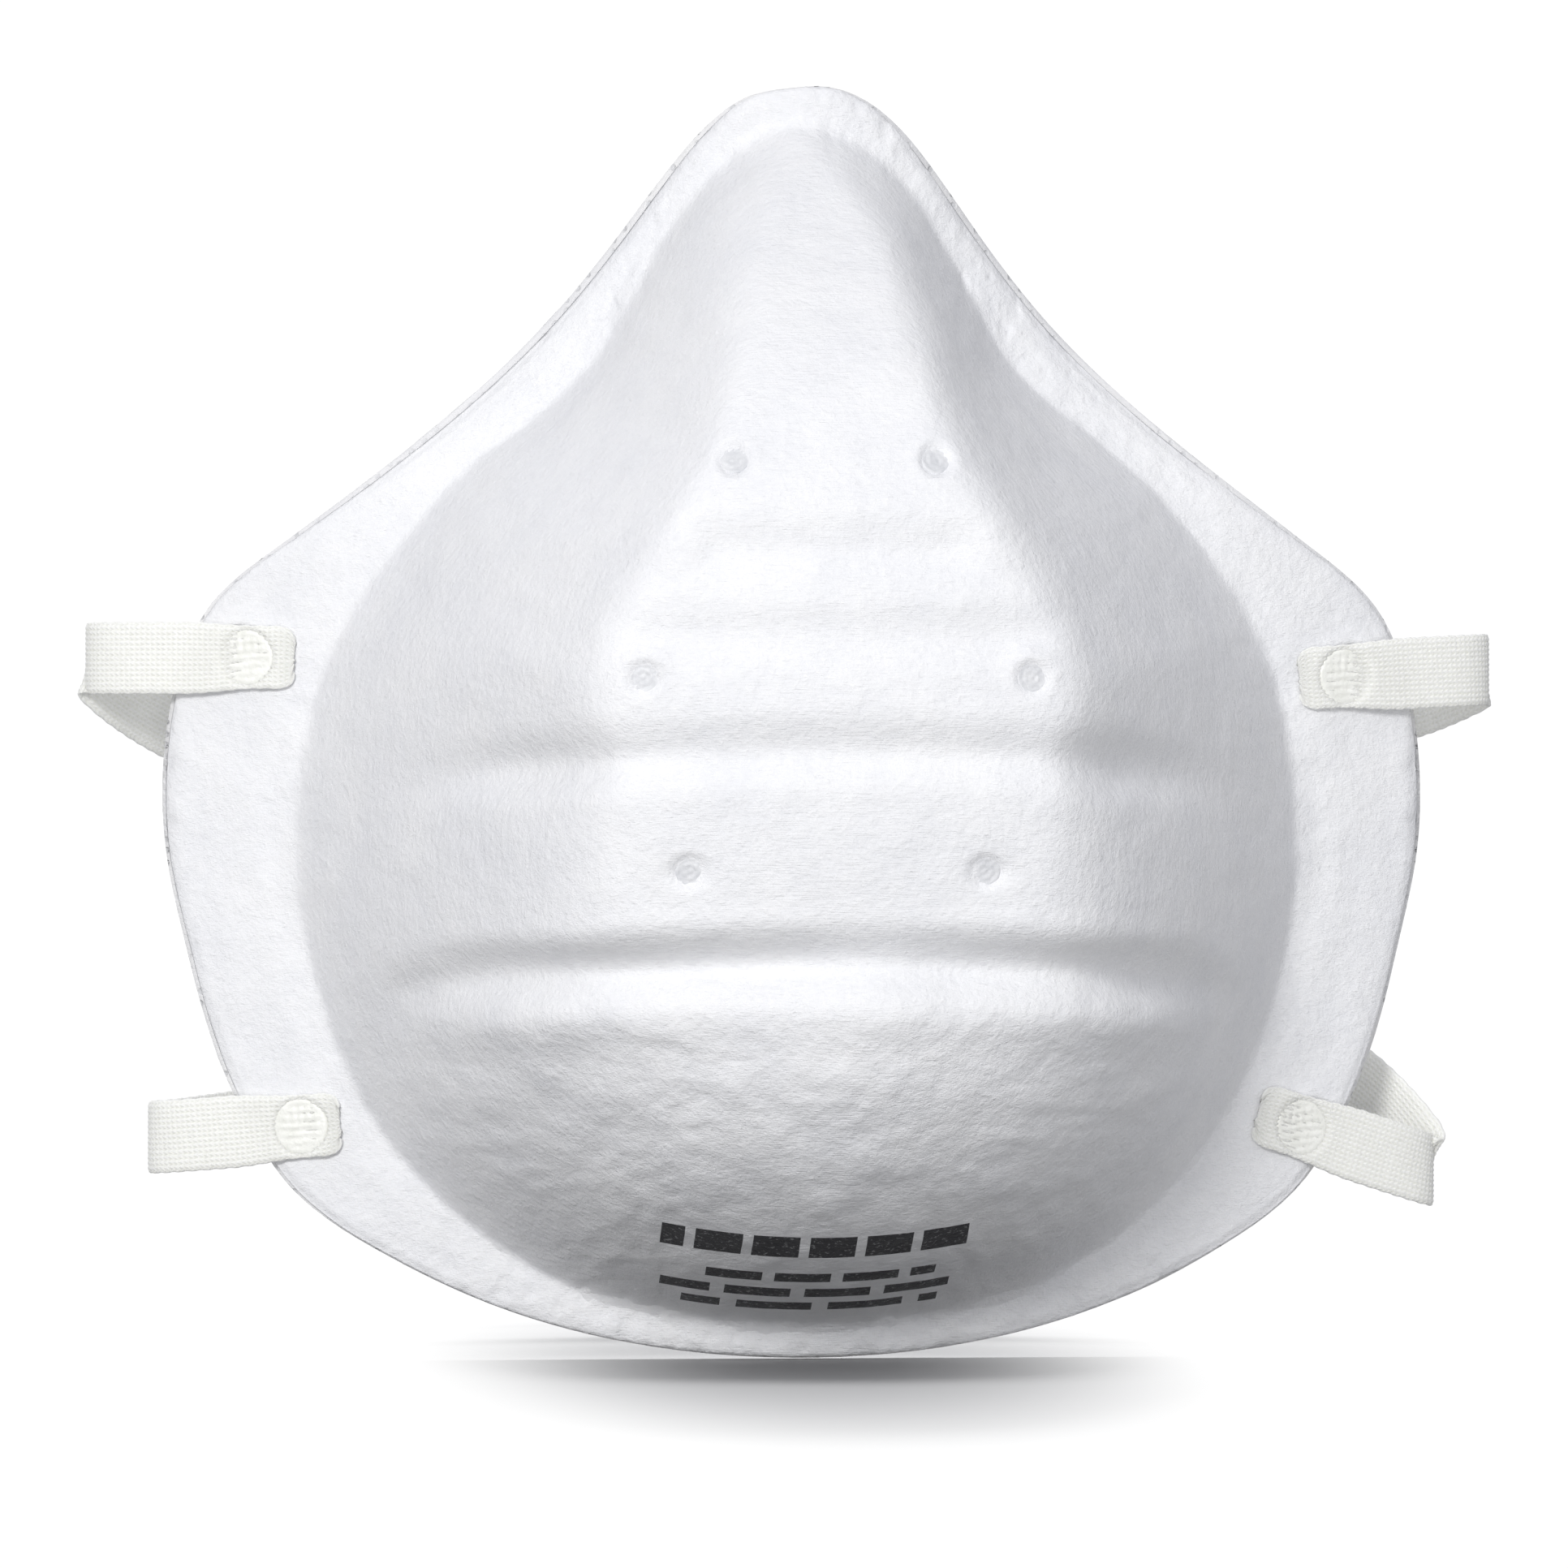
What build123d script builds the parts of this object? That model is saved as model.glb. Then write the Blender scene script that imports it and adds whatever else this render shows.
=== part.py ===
from build123d import *

import os
from math import atan, cos, degrees, pi, radians, sin, tan

import numpy as np

# Disposable moulded-cup dust mask. Millimetres.
# The wearer's nose is up (+Z), the front of the cup points to -Y and +X is the viewer's right.
# The origin is the middle of the face opening, where the flange meets the face.

# --- flange: right half of its edge, (half width, height) from the nose to the chin --------------
FLANGE_OUTLINE = [
    (0.0, 69.8), (6.0, 68.7), (9.7, 66.0), (13.7, 61.4), (20.0, 52.9), (27.4, 43.9), (36.6, 35.0),
    (47.1, 26.6), (57.5, 19.2), (64.6, 13.2), (68.6, 4.5), (70.0, -5.0), (69.6, -15.0),
    (67.6, -24.0), (64.6, -35.0), (61.0, -43.5), (55.8, -51.5), (46.5, -58.2), (34.5, -63.9),
    (18.0, -68.3), (0.0, -69.7),
]
FLANGE_SWEEP = 0.0030          # sideways curvature of the flange over the cheeks, 1/mm
NOSE_WRAP = 0.0170             # extra curvature where it wraps the bridge of the nose
NOSE_WRAP_FROM, NOSE_WRAP_TO = 18.0, 66.0

# --- cup: right half of the line where it meets the flange ----------------------------------------
ROOT_OUTLINE = [
    (0.0, 65.0), (9.4, 60.6), (15.0, 53.5), (23.9, 38.5), (39.0, 25.5), (48.4, 13.5), (53.5, 2.5),
    (55.3, -9.0), (54.9, -20.0), (52.2, -32.0), (45.8, -45.0), (37.8, -53.8), (27.4, -60.6),
    (15.9, -64.4), (0.0, -66.2),
]
# Right half of the front panel: nose ridge, wide middle, and foot above the chin.
PANEL_OUTLINE = [
    (0.0, 58.0), (5.0, 55.0), (13.0, 29.0), (20.5, 15.0), (25.0, 4.0), (23.0, -9.0), (19.5, -21.0),
    (0.0, -23.0),
]
# Height, and how far the panel stands in front of the origin there.
PANEL_PROFILE = [
    (-76.0, -40.0), (-24.0, -48.0), (-14.0, -49.8), (0.0, -50.5), (14.0, -49.2), (26.0, -45.5),
    (36.0, -38.5), (46.0, -27.5), (56.0, -13.5), (64.0, -4.0), (76.0, 4.0),
]
PANEL_CROWN = 0.0035           # sideways curvature of the panel, 1/mm
PROFILE_SOFTENING = 5.0
SIDE_FULLNESS = 1.18           # 1 is a straight wall, more is a fuller one
CHIN_FULLNESS = 2.7
CHIN_FROM = 1.75               # angle from the nose at which the walls begin to fill out
EDGE_SOFTENING = 2.0           # standard deviation of the rounding of every edge
RAW_STEP = 1.0
SURFACE_STEP = 2
HALF_SPAN = 76.0

# --- ribs: height at the middle, half length, depth, half band, droop at the ends -----------------
RIB_SPREAD = 0.62              # standard deviation of a rib's section, in half bands
RIB_FADE = 0.72                # share of the half length where a rib begins to fade out
GROOVES = [
    (18.0, 17.0, 0.9, 2.6, 0.0),
    (-3.4, 44.0, 1.5, 3.0, 3.0),
    (-25.4, 47.0, 1.6, 2.9, 2.4),
]
CHIN_LIP = (-30.6, 46.0, -1.1, 3.6, 2.4)

# --- layers: depth of the front and back face, and each face's share of the ribs' relief ----------
LAYERS = {
    "outer_shell": (0.0, 1.0, 0.90, 0.8),
    "prefilter_web": (1.04, 0.8, 1.54, 0.7),
    "filter_web": (1.68, 0.7, 2.18, 0.6),
    "inner_lining": (2.32, 0.6, 2.82, 0.5),
}
EDGE_INSET = {"outer_shell": 0.0, "prefilter_web": 0.8, "filter_web": 0.8, "inner_lining": 0.0}
LINING_BACK = 2.82
PRISM_REACH = 90.0             # half length of the prisms that trim the layers
HOLE_OVERRUN = 3.0             # how far a weld's hole is cut past both faces

# --- tack welds through the panel -------------------------------------------------------------------
TACK_RADIUS = 1.7
TACK_RECESS = 0.35
TACK_ROWS = {"upper": (10.7, 27.3), "middle": (20.3, 4.3), "lower": (15.4, -16.0)}

# --- elastic headbands: 8 mm flat elastic ----------------------------------------------------------
BAND_WIDTH = 8.0
BAND_THICKNESS = 0.9
BAND_LIFT = 0.5                # clear space between the elastic and the flange
FOLD_RADIUS = 4.0              # to the middle of the elastic
FOLD_TAIL = 1.3                # straight run of a strap end after its fold, up to the hinge
HINGE_INSET = 2.0              # about how far the hinge lies inside the outer face of the fold
HINGE_GAP = 0.5                # clear space between a strap end and its swinging loop
TRIM_SIZE = 30.0               # block that trims a strap end square to the hinge
TRIM_START = 4.6               # how far in front of the hinge that block starts
LOOP_OVERRUN = (1.0, 0.8)      # how far the loop's arc starts past its hinge, before its trim
STRAP_WELD_RADIUS = 3.1
STRAP_WELD_RECESS = 0.2
# side, inner end x, weld x, weld height, fold x, rise of the outer end in degrees
STRAP_ENDS = {
    "upper_left": (-1, 56.0, 60.9, 7.2, 78.4, 0.0),
    "upper_right": (1, 56.2, 60.9, 5.2, 78.0, 3.0),
    "lower_left": (-1, 51.2, 55.0, -44.6, 71.2, -4.0),
    "lower_right": (1, 52.0, 55.9, -45.0, 71.0, -15.0),
}
# bow of the slack loop behind its hinge line, and its tilt in degrees (down is negative)
HEADBANDS = {"upper": (37.0, -22.0), "lower": (34.0, 8.0)}

# --- foam pad inside the nose bridge ------------------------------------------------------------------
FOAM_GAP = 0.4
FOAM_THICKNESS = 3.4
FOAM_FOOT = 27.0
FOAM_OUTER_INSET = 5.0
FOAM_INNER_INSET = 13.0
FOAM_HALF_SPAN = 50.0
FOAM_MARGIN = (8.0, 2.0)       # how far its grid runs below its foot and above the flange's top


def smooth_step(value, start, end):
    t = np.clip((value - start) / (end - start), 0.0, 1.0)
    return t * t * (3.0 - 2.0 * t)


def soften_line(values, deviation):
    """Gaussian rounding of evenly spaced heights."""
    count = int(3 * deviation / RAW_STEP)
    weights = np.exp(-0.5 * (np.arange(-count, count + 1) * RAW_STEP / deviation) ** 2)
    padded = np.pad(values, count, mode="reflect", reflect_type="odd")
    return np.convolve(padded, weights / weights.sum(), mode="valid")


def soften(heights, deviation):
    rows = np.apply_along_axis(soften_line, 0, heights, deviation)
    return np.apply_along_axis(soften_line, 1, rows, deviation)


def whole_outline(half_outline):
    """The closed outline, clockwise from the top, from its right half."""
    left = [(-x, z) for x, z in reversed(half_outline[1:-1])]
    return np.array(list(half_outline) + left)


def straight_outline(half_outline, pieces=12):
    """Points along the straight sides of an outline."""
    corners = whole_outline(half_outline)
    t = np.linspace(0.0, 1.0, pieces, endpoint=False)[:, None]
    return np.vstack([a + (b - a) * t for a, b in zip(corners, np.roll(corners, -1, axis=0))])


def rounded_outline(half_outline, pieces=12):
    """Points along the smooth curve through an outline's corners."""
    corners = whole_outline(half_outline)
    slopes = (np.roll(corners, -1, axis=0) - np.roll(corners, 1, axis=0)) / 2.0
    t = np.linspace(0.0, 1.0, pieces, endpoint=False)[:, None]
    spans = []
    for i in range(len(corners)):
        j = (i + 1) % len(corners)
        start = (2 * t**3 - 3 * t**2 + 1) * corners[i] + (t**3 - 2 * t**2 + t) * slopes[i]
        end = (3 * t**2 - 2 * t**3) * corners[j] + (t**3 - t**2) * slopes[j]
        spans.append(start + end)
    return np.vstack(spans)


def reach_of(points, angles):
    """Distance from the origin to a closed outline in each direction (angle from +Z)."""
    around = np.arctan2(points[:, 0], points[:, 1])
    order = np.argsort(around)
    return np.interp(angles, around[order], np.hypot(*points[order].T), period=2 * pi)


def flange_y(x, z):
    """The flange is a saddle: it sweeps back over the cheeks and wraps the nose."""
    wrap = smooth_step(z, NOSE_WRAP_FROM, NOSE_WRAP_TO) ** 1.4
    return (FLANGE_SWEEP + NOSE_WRAP * wrap) * x**2


def panel_y(x, z):
    heights = np.arange(-HALF_SPAN, HALF_SPAN + RAW_STEP / 2, RAW_STEP)
    profile = soften_line(np.interp(heights, *zip(*PANEL_PROFILE)), PROFILE_SOFTENING)
    return np.interp(z, heights, profile) + PANEL_CROWN * x**2


def sharp_front(x, z):
    """The outside of the mask before its edges are rounded."""
    distance, angle = np.hypot(x, z), np.arctan2(x, z)
    root = reach_of(rounded_outline(ROOT_OUTLINE), angle)
    edge = reach_of(straight_outline(PANEL_OUTLINE), angle)
    rise = np.clip((root - distance) / (root - edge), 0.0, 1.0)
    chin = smooth_step(np.abs(angle), CHIN_FROM, pi) ** 0.7
    fullness = SIDE_FULLNESS + (CHIN_FULLNESS - SIDE_FULLNESS) * chin
    share = 1.0 - (1.0 - rise) ** fullness
    root_y = flange_y(root * np.sin(angle), root * np.cos(angle))
    edge_y = panel_y(edge * np.sin(angle), edge * np.cos(angle))
    wall = root_y + (edge_y - root_y) * share
    return np.where(distance >= root, flange_y(x, z), np.where(distance <= edge, panel_y(x, z), wall))


def rib_relief(x, z):
    """Depth of the grooves, less the height of the lip over the chin."""
    relief = np.zeros_like(x)
    for middle, half_length, depth, half_band, droop in GROOVES + [CHIN_LIP]:
        along = np.abs(x) / half_length
        centre = middle - droop * along**2
        band = np.exp(-0.5 * ((z - centre) / (RIB_SPREAD * half_band)) ** 2)
        relief += depth * band * (1.0 - smooth_step(along, RIB_FADE, 1.0))
    return relief


LINE = np.arange(-HALF_SPAN, HALF_SPAN + RAW_STEP / 2, RAW_STEP)
GRID_X, GRID_Z = np.meshgrid(LINE, LINE, indexing="ij")
FRONT = soften(sharp_front(GRID_X, GRID_Z), EDGE_SOFTENING)
RELIEF = rib_relief(GRID_X, GRID_Z)


def inward_normals(heights):
    slope_x, slope_z = np.gradient(heights, RAW_STEP)
    normals = np.stack([-slope_x, np.ones_like(heights), -slope_z], axis=-1)
    return normals / np.linalg.norm(normals, axis=-1, keepdims=True)


NORMALS = inward_normals(FRONT)


def surface_at(depth, share):
    """Grid of points at a depth behind the cup's outside, with its share of the ribs."""
    points = np.stack([GRID_X, FRONT, GRID_Z], axis=-1)
    return points + NORMALS * (depth + share * RELIEF)[..., None]


def spline_face(grid):
    rows = [[Vector(*point) for point in row] for row in grid[::SURFACE_STEP, ::SURFACE_STEP]]
    return Face.make_surface_from_array_of_points(rows, tol=0.02, min_deg=3, max_deg=3)


def slab(front_grid, back_grid):
    """The solid between two grids of points."""
    front, back = spline_face(front_grid), spline_face(back_grid)
    faces = [front, back]
    for edge in front.edges():
        partner = min(back.edges(), key=lambda other: (other.center() - edge.center()).length)
        faces.append(Face.make_surface_from_curves(edge, partner))
    return Solid(Shell(faces))


def outline_prism(half_outline, inset=0.0):
    """A prism along Y over a smooth outline in the XZ plane."""
    corners = whole_outline(half_outline)
    corners = corners * (1.0 - inset / np.hypot(*corners.T))[:, None]
    curve = Spline([Vector(x, -PRISM_REACH, z) for x, z in corners], periodic=True)
    return extrude(Face(Wire([curve])), amount=2 * PRISM_REACH, dir=(0, 1, 0))


def surface_point(x, z):
    """Point on the cup's outside at a place in the front view, and its inward normal."""
    outside = surface_at(0.0, 1.0)
    flat = np.hypot(outside[..., 0] - x, outside[..., 2] - z)
    i, k = np.unravel_index(np.argmin(flat), flat.shape)
    normal = NORMALS[i, k]
    offset_x, offset_z = x - outside[i, k, 0], z - outside[i, k, 2]
    y = outside[i, k, 1] - (normal[0] * offset_x + normal[2] * offset_z) / normal[1]
    return Vector(x, y, z), Vector(*normal)


def weld_pin(x, z, radius, start, end):
    """A round pin along the surface's normal, from one depth to another."""
    point, normal = surface_point(x, z)
    plane = Plane(origin=point + normal * start, z_dir=normal)
    return extrude(plane * Circle(radius), amount=end - start)


def weld_hole(x, z, radius):
    """The hole that a weld fills, cut right through every layer."""
    return weld_pin(x, z, radius, -HOLE_OVERRUN, LINING_BACK + HOLE_OVERRUN)


def strap_line(name):
    """Middle line of a strap end seen from above, before it is turned about its weld."""
    side, inner_x, weld_x, height, fold_x, rise = STRAP_ENDS[name]
    slope = FLANGE_SWEEP * (inner_x + fold_x)
    heading = atan(slope)
    weld_y = flange_y(weld_x, height) - BAND_LIFT - BAND_THICKNESS / 2
    centre_x = fold_x - FOLD_RADIUS - BAND_THICKNESS / 2
    turn_x = centre_x + FOLD_RADIUS * sin(heading)
    turn_y = weld_y + slope * (turn_x - weld_x)
    centre_y = turn_y + FOLD_RADIUS * cos(heading)
    start = (inner_x, weld_y + slope * (inner_x - weld_x))
    return start, (turn_x, turn_y), (centre_x, centre_y), heading


def loop_heading(band):
    """Angle at which the loop's arc leaves its hinge line, from the viewer's right."""
    bow = HEADBANDS[band][0]
    half = loop_half_width(band)
    return pi - 2 * atan(bow / half)


def loop_half_width(band):
    left = STRAP_ENDS[band + "_left"][4]
    right = STRAP_ENDS[band + "_right"][4]
    return (left + right) / 2 - HINGE_INSET


def hinge_point(name):
    """Where a strap end hands over to the swinging loop."""
    side, inner_x, weld_x, height, fold_x, rise = STRAP_ENDS[name]
    start, turn, centre, heading = strap_line(name)
    leaving = loop_heading(name.split("_")[0])
    x = centre[0] + FOLD_RADIUS * sin(leaving) + FOLD_TAIL * cos(leaving)
    y = centre[1] - FOLD_RADIUS * cos(leaving) + FOLD_TAIL * sin(leaving)
    return Vector(side * x, y, height + (x - weld_x) * tan(radians(rise)))


def strap_end(name):
    """Elastic that lies on the flange, runs out past its edge and folds back."""
    side, inner_x, weld_x, height, fold_x, rise = STRAP_ENDS[name]
    start, turn, centre, heading = strap_line(name)
    leaving = loop_heading(name.split("_")[0])
    run = Line(start, turn)
    bend = CenterArc(centre, FOLD_RADIUS, degrees(heading) - 90, degrees(leaving - heading))
    tail = Line(bend @ 1, bend @ 1 + Vector(cos(leaving), sin(leaving)) * 2 * FOLD_TAIL)
    strip = extrude(trace([run, bend, tail], BAND_THICKNESS), amount=BAND_WIDTH / 2, both=True)
    strip = strip.moved(Location((0, 0, height)))
    pivot = Axis((weld_x, 0, height), (0, 1, 0))
    strip = strip.rotate(pivot, -rise)
    if side < 0:
        strip = strip.mirror(Plane.YZ)
    hinge = hinge_point(name)
    beyond_x = hinge.X - side * (TRIM_SIZE - HINGE_GAP) / 2
    beyond_y = hinge.Y + TRIM_SIZE / 2 - TRIM_START
    beyond = Box(TRIM_SIZE, TRIM_SIZE, TRIM_SIZE).moved(Location((beyond_x, beyond_y, hinge.Z)))
    return strip - beyond


def hinge_frame(band):
    """Middle and direction of a headband's hinge line."""
    left, right = hinge_point(band + "_left"), hinge_point(band + "_right")
    return (left + right) * 0.5, (right - left).normalized(), (right - left).length / 2


def headband(band):
    """Slack elastic loop behind the cup, from fold to fold."""
    bow, tilt = HEADBANDS[band]
    middle, direction, half = hinge_frame(band)
    past, behind = LOOP_OVERRUN
    arc = ThreePointArc((half + past, -behind), (0, bow), (-half - past, -behind))
    strip = extrude(trace(arc, BAND_THICKNESS), amount=BAND_WIDTH / 2, both=True)
    keep = Box(2 * half - HINGE_GAP, 4 * bow, 4 * BAND_WIDTH)
    strip = (strip & keep).rotate(Axis.X, tilt)
    plane = Plane(origin=middle, x_dir=direction, z_dir=direction.cross(Vector(0, 1, 0)))
    return plane.location * strip


def strap_weld(name):
    side, inner_x, weld_x, height, fold_x, rise = STRAP_ENDS[name]
    front = -BAND_LIFT - BAND_THICKNESS + STRAP_WELD_RECESS
    return weld_pin(side * weld_x, height, STRAP_WELD_RADIUS, front, LINING_BACK)


def ball_offset(heights, radius):
    """Heights of the surface that a ball of this radius leaves behind them."""
    result = np.full_like(heights, -np.inf)
    count = int(radius / RAW_STEP)
    for i in range(-count, count + 1):
        for k in range(-count, count + 1):
            room = radius**2 - (i * RAW_STEP) ** 2 - (k * RAW_STEP) ** 2
            if room >= 0:
                moved = np.roll(heights, (i, k), axis=(0, 1))
                result = np.maximum(result, moved + room**0.5)
    return result


def nose_foam():
    """An arched pad inside the nose, shaped to the lining."""
    across = np.abs(LINE) <= FOAM_HALF_SPAN
    below, above = FOAM_MARGIN
    upward = (LINE >= FOAM_FOOT - below) & (LINE <= FLANGE_OUTLINE[0][1] + above)
    grids = []
    for depth in (0.0, FOAM_THICKNESS):
        heights = soften(ball_offset(FRONT, LINING_BACK + FOAM_GAP + depth), 1.0) + FOAM_GAP
        grids.append(np.stack([GRID_X, heights, GRID_Z], axis=-1)[across][:, upward])
    arch = outline_prism(ROOT_OUTLINE, FOAM_OUTER_INSET) - outline_prism(ROOT_OUTLINE, FOAM_INNER_INSET)
    upper = Box(2 * PRISM_REACH, 2 * PRISM_REACH, PRISM_REACH)
    return slab(*grids) & (arch & upper.moved(Location((0, 0, FOAM_FOOT + PRISM_REACH / 2))))


def build():
    parts, tacks, holes = {}, {}, []
    for row, (x, z) in TACK_ROWS.items():
        for side, sign in (("left", -1), ("right", 1)):
            pin = weld_pin(sign * x, z, TACK_RADIUS, TACK_RECESS, LINING_BACK)
            tacks[f"{row}_{side}_tack_weld"] = pin
            holes.append(weld_hole(sign * x, z, TACK_RADIUS))
    welds = {name: strap_weld(name) for name in STRAP_ENDS}
    for side, inner_x, weld_x, height, fold_x, rise in STRAP_ENDS.values():
        holes.append(weld_hole(side * weld_x, height, STRAP_WELD_RADIUS))
    for name, (front, front_share, back, back_share) in LAYERS.items():
        sheet = slab(surface_at(front, front_share), surface_at(back, back_share))
        parts[name] = (sheet & outline_prism(FLANGE_OUTLINE, EDGE_INSET[name])) - holes
    parts["nose_seal_foam"] = nose_foam()
    for name in STRAP_ENDS:
        parts[name + "_strap_end"] = strap_end(name) - welds[name]
        parts[name + "_strap_weld"] = welds[name]
    parts.update(tacks)
    for band in HEADBANDS:
        parts[band + "_headband"] = headband(band)
    return parts


os.makedirs("parts", exist_ok=True)
for node, shape in build().items():
    export_step(shape, f"parts/{node}.step")
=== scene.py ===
from math import cos, pi, radians, sin

import bpy
import numpy as np
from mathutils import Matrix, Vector
from mathutils.bvhtree import BVHTree


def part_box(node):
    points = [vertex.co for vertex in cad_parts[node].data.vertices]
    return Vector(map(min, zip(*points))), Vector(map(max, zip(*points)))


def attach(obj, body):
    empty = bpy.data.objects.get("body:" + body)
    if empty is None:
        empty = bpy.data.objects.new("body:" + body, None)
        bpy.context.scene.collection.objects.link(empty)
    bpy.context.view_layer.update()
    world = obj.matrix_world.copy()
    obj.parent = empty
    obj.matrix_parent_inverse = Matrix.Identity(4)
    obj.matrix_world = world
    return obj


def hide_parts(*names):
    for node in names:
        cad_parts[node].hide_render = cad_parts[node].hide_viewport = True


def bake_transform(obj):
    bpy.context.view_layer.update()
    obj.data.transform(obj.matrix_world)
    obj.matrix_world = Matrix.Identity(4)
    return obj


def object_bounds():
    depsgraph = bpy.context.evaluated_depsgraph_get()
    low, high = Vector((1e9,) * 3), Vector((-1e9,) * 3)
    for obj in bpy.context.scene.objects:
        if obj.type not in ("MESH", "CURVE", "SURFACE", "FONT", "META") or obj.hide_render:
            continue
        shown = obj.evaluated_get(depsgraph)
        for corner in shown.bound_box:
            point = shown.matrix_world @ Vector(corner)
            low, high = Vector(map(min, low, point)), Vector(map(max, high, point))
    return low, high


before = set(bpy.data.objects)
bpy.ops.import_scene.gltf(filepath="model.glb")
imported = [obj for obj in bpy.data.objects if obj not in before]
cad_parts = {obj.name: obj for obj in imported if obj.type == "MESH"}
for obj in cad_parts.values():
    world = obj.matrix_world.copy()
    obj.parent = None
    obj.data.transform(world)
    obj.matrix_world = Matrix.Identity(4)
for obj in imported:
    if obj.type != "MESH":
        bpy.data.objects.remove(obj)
CAD_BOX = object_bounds()
MM = 0.001

# ================================ camera ==========================================================
VIEW_AZIMUTH, VIEW_ELEVATION = radians(-4.0), radians(0.0)
VIEW_DISTANCE = 0.90
VIEW_WIDTH = 0.1722            # width seen at the face opening
AIM = Vector((-2.3 * MM, 0.0, -6.8 * MM))
SENSOR_WIDTH = 36.0

camera = bpy.data.objects.new("camera", bpy.data.cameras.new("camera"))
bpy.context.collection.objects.link(camera)
toward = Vector((sin(VIEW_AZIMUTH) * cos(VIEW_ELEVATION), -cos(VIEW_AZIMUTH) * cos(VIEW_ELEVATION),
                 sin(VIEW_ELEVATION)))
camera.location = AIM + toward * VIEW_DISTANCE
camera.rotation_euler = toward.to_track_quat("Z", "Y").to_euler()
camera.data.sensor_width = SENSOR_WIDTH
camera.data.lens = SENSOR_WIDTH * VIEW_DISTANCE / VIEW_WIDTH
bpy.context.scene.camera = camera


# ================================ smooth numbers ==================================================
def smooth_step(value, start, end):
    t = np.clip((value - start) / (end - start), 0.0, 1.0)
    return t * t * (3.0 - 2.0 * t)


def soft_noise(x, z, size, seed):
    """Smooth random numbers from -1 to 1, with lumps of a given size."""
    lattice = np.random.default_rng(seed).uniform(-1.0, 1.0, (256, 256))
    u, v = x / size + 100.0, z / size + 100.0
    i, k = np.floor(u).astype(int), np.floor(v).astype(int)
    s, t = u - i, v - k
    s, t = s * s * (3 - 2 * s), t * t * (3 - 2 * t)
    low = lattice[i % 256, k % 256] * (1 - s) + lattice[(i + 1) % 256, k % 256] * s
    high = lattice[i % 256, (k + 1) % 256] * (1 - s) + lattice[(i + 1) % 256, (k + 1) % 256] * s
    return low * (1 - t) + high * t


def crumple(x, z, size, seed):
    """Creased lumps, as in pressed nonwoven: sharp valleys between soft swellings."""
    bend_x = x + 0.5 * size * soft_noise(x, z, size * 1.3, seed + 1)
    bend_z = z + 0.5 * size * soft_noise(x, z, size * 1.3, seed + 2)
    total = 0.0
    for octave, weight in enumerate((1.0, 0.5, 0.28)):
        ridge = np.abs(soft_noise(bend_x, bend_z, size / 2**octave, seed + 3 + octave))
        total = total + weight * ridge
    return total / 1.78


# ================================ the CAD surfaces ================================================
GRID_STEP = 1.0 * MM
GRID_REACH = 76
LINE = np.arange(-GRID_REACH, GRID_REACH + 1) * GRID_STEP
ANGLES = np.linspace(-pi, pi, 720, endpoint=False)


def node_tree(node):
    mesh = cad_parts[node].data
    return BVHTree.FromPolygons([v.co for v in mesh.vertices], [p.vertices[:] for p in mesh.polygons])


def hit_y(tree, x, z, side):
    """Where a line along Y first meets a node, from the front (-1) or the back (1)."""
    hit = tree.ray_cast(Vector((x, side * 0.2, z)), Vector((0, -side, 0)))[0]
    return np.nan if hit is None else hit.y


def edge_reach(tree):
    """Distance from the middle to the node's edge, in each direction (angle from +Z)."""
    reach = []
    for angle in ANGLES:
        far = 80 * MM
        while np.isnan(hit_y(tree, far * sin(angle), far * cos(angle), -1)):
            far -= 1.0 * MM
        near, far = far, far + 1.0 * MM
        for _ in range(8):
            middle = (near + far) / 2
            if np.isnan(hit_y(tree, middle * sin(angle), middle * cos(angle), -1)):
                far = middle
            else:
                near = middle
        reach.append(near)
    return np.array(reach)


def neighbours(grid, distance):
    """The grid moved by a number of steps each way, NaN beyond its edge."""
    padded = np.pad(grid, distance, constant_values=np.nan)
    rows, columns = grid.shape
    return {
        (i, k): padded[distance * (1 + i):distance * (1 + i) + rows,
                       distance * (1 + k):distance * (1 + k) + columns]
        for i in (-1, 0, 1) for k in (-1, 0, 1) if (i, k) != (0, 0)
    }


def fill_gaps(grid):
    """Carries the surface on, in line, across weld holes and past the edge."""
    missing = np.isnan(grid)
    while np.isnan(grid).any():
        near, next_out = neighbours(grid, 1), neighbours(grid, 2)
        guesses = np.stack([2 * near[way] - next_out[way] for way in near])
        known = ~np.isnan(guesses)
        total = np.where(known, guesses, 0.0).sum(axis=0)
        ready = np.isnan(grid) & (known.sum(axis=0) > 0)
        grid = np.where(ready, total / np.maximum(known.sum(axis=0), 1), grid)
    for _ in range(40):
        around = np.stack(list(neighbours(np.nan_to_num(grid), 1).values()))
        mean = np.nanmean(around, axis=0)
        grid = np.where(missing & (np.abs(mean - grid) < 3 * MM), mean, grid)
    return grid


def soften(grid, deviation):
    """Gaussian smoothing of a height grid, deviation in grid steps."""
    count = int(3 * deviation) + 1
    weights = np.exp(-0.5 * (np.arange(-count, count + 1) / deviation) ** 2)
    weights /= weights.sum()
    padded = np.pad(grid, count, mode="reflect", reflect_type="odd")
    rows = np.apply_along_axis(np.convolve, 0, padded, weights, mode="valid")
    return np.apply_along_axis(np.convolve, 1, rows, weights, mode="valid")


def crispen(grid, deviation, rounds):
    """Undoes part of the rounding of the edges in a height grid."""
    sharp = grid.copy()
    for _ in range(rounds):
        sharp += grid - soften(sharp, deviation)
    return sharp


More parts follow.
